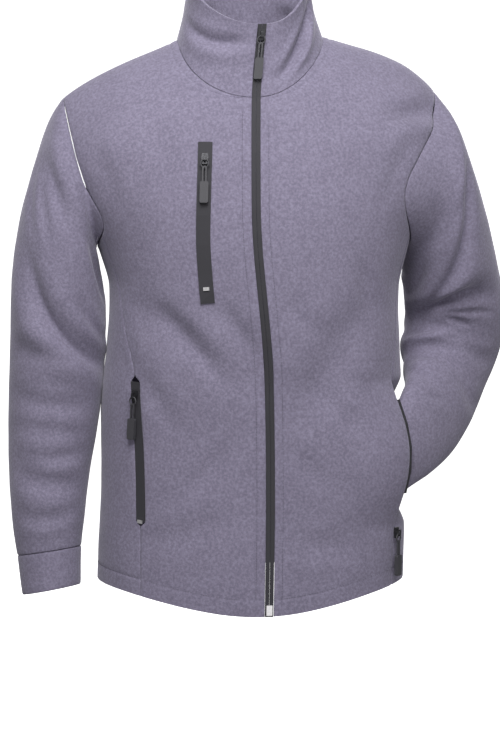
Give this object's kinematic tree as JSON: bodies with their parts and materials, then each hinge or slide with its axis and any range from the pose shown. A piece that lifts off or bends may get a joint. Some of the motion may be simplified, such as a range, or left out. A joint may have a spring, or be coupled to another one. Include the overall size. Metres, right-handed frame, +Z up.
{
  "type": "fleece zip jacket",
  "caption": "Hollow stand-collar fleece jacket with a full front zip, zipped chest and hand pockets, one cuff in its pocket.",
  "frame": {"origin": "middle of the neck opening, level with the inner ends of the shoulder seams, where the wearer's shoulders hold the jacket", "axes": "+Z up, +X towards the wearer's left, the front faces -Y"},
  "size_m": [0.6278, 0.2613, 0.7733],
  "materials": {
    "fleece": "matt brushed knit",
    "zip_tape": "matt woven tape",
    "slider": "satin",
    "pull": "matt",
    "metal": "satin"
  },
  "bodies": {
    "jacket": {"front_right": "fleece", "front_left": "fleece", "side_right": "fleece", "side_left": "fleece", "back": "fleece", "sleeve_right": "fleece", "cuff_right": "fleece", "sleeve_left": "fleece", "cuff_left": "fleece", "collar": "fleece", "main_zip_right": "zip_tape", "main_zip_left": "zip_tape", "chest_zip": "zip_tape", "pocket_zip_right": "zip_tape", "pocket_tape_front": "zip_tape", "pocket_tape_side": "zip_tape", "main_slider": "slider", "chest_slider": "slider", "pocket_slider_right": "slider", "pocket_slider_left": "slider", "chest_zip_stop": "metal", "pocket_stop_right": "metal", "main_zip_box": "metal"},
    "main_pull": {"main_pull": "pull"},
    "chest_pull": {"chest_pull": "pull"},
    "pocket_pull_right": {"pocket_pull_right": "pull"},
    "pocket_pull_left": {"pocket_pull_left": "pull"}
  },
  "joints": [
    {"name": "main_pull_hinge", "type": "hinge", "parent": "jacket", "child": "main_pull", "pos_m": [0.0066, -0.09119, -0.00559], "axis": [-0.9994, -0.0137, -0.0316], "range_deg": [0, 120]},
    {"name": "chest_pull_hinge", "type": "hinge", "parent": "jacket", "child": "chest_pull", "pos_m": [-0.06243, -0.12626, -0.15012], "axis": [-0.9945, 0.1033, 0.0192], "range_deg": [0, 120]},
    {"name": "right_pocket_pull_hinge", "type": "hinge", "parent": "jacket", "child": "pocket_pull_right", "pos_m": [-0.14575, -0.09255, -0.42815], "axis": [-0.7616, 0.6453, 0.0592], "range_deg": [0, 120]},
    {"name": "left_pocket_pull_hinge", "type": "hinge", "parent": "jacket", "child": "pocket_pull_left", "pos_m": [0.17337, -0.0858, -0.59723], "axis": [-0.639, -0.7691, 0.0135], "range_deg": [0, 100]}
  ]
}
